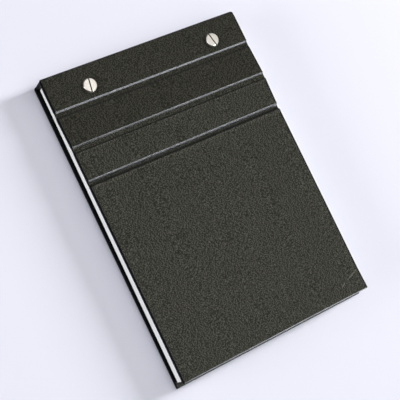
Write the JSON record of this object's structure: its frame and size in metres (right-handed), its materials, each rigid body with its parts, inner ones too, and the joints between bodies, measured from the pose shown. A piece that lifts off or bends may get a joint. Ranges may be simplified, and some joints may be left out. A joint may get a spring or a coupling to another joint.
{
  "type": "notepad",
  "caption": "Desk notepad of A5 pages screwed at the head into a cloth-covered hard case, whose creased front cover folds back over the head.",
  "frame": {"origin": "middle of the underside, on the back cover's outer face", "axes": "+Y towards the bound head, +Z out of the front cover, X across the width; the pad lies on its back"},
  "size_m": [0.152, 0.217, 0.0179],
  "materials": {
    "bookcloth": "dark olive-grey woven bookcloth, matt",
    "greyboard": "grey bookbinder's board",
    "lining_paper": "smooth dark lining paper",
    "page_paper": "uncoated white writing paper",
    "nickel": "bright nickel plate on steel"
  },
  "bodies": {
    "case": {"back_board": "greyboard", "back_cover_cloth": "bookcloth", "back_lining": "lining_paper", "binding_strip_board": "greyboard", "binding_strip_cloth": "bookcloth", "binding_strip_lining": "lining_paper", "spine_board": "greyboard", "spine_cloth": "bookcloth", "paper_block": "page_paper", "post_barrel_left": "nickel", "post_barrel_right": "nickel"},
    "upper_flap": {"upper_flap_board": "greyboard", "upper_flap_cloth": "bookcloth", "upper_flap_lining": "lining_paper"},
    "lower_flap": {"lower_flap_board": "greyboard", "lower_flap_cloth": "bookcloth", "lower_flap_lining": "lining_paper"},
    "front_cover": {"front_cover_board": "greyboard", "front_cover_cloth": "bookcloth", "front_cover_lining": "lining_paper"},
    "leaf_1": {"leaf_1": "page_paper"},
    "leaf_2": {"leaf_2": "page_paper"},
    "leaf_3": {"leaf_3": "page_paper"},
    "leaf_4": {"leaf_4": "page_paper"},
    "screw_left": {"post_screw_left": "nickel"},
    "screw_right": {"post_screw_right": "nickel"}
  },
  "joints": [
    {"name": "crease_1", "type": "hinge", "parent": "case", "child": "upper_flap", "pos_m": [0, 0.084, 0.01775], "axis": [-1, 0, 0], "range_deg": [0, 180]},
    {"name": "crease_2", "type": "hinge", "parent": "upper_flap", "child": "lower_flap", "pos_m": [0, 0.05851, 0.01775], "axis": [-1, 0, 0], "range_deg": [0, 90]},
    {"name": "crease_3", "type": "hinge", "parent": "lower_flap", "child": "front_cover", "pos_m": [0, 0.0344, 0.01775], "axis": [-1, 0, 0], "range_deg": [0, 92]},
    {"name": "leaf_1_turn", "type": "hinge", "parent": "case", "child": "leaf_1", "pos_m": [0, 0.084, 0.01775], "axis": [-1, 0, 0], "range_deg": [0, 166]},
    {"name": "leaf_2_turn", "type": "hinge", "parent": "case", "child": "leaf_2", "pos_m": [0, 0.084, 0.01775], "axis": [-1, 0, 0], "range_deg": [0, 152]},
    {"name": "leaf_3_turn", "type": "hinge", "parent": "case", "child": "leaf_3", "pos_m": [0, 0.084, 0.01775], "axis": [-1, 0, 0], "range_deg": [0, 137]},
    {"name": "leaf_4_turn", "type": "hinge", "parent": "case", "child": "leaf_4", "pos_m": [0, 0.084, 0.01775], "axis": [-1, 0, 0], "range_deg": [0, 123]},
    {"name": "screw_left_turn", "type": "hinge", "parent": "case", "child": "screw_left", "pos_m": [-0.0455, 0.0937, 0.01668], "axis": [0, 0, 1], "continuous": true},
    {"name": "screw_right_turn", "type": "hinge", "parent": "case", "child": "screw_right", "pos_m": [0.0511, 0.0937, 0.01668], "axis": [0, 0, 1], "continuous": true}
  ],
  "couplings": [
    {"joint": "leaf_1_turn", "follows": "crease_1", "ratio": 0.92},
    {"joint": "leaf_2_turn", "follows": "crease_1", "ratio": 0.84},
    {"joint": "leaf_3_turn", "follows": "crease_1", "ratio": 0.76},
    {"joint": "leaf_4_turn", "follows": "crease_1", "ratio": 0.68}
  ]
}
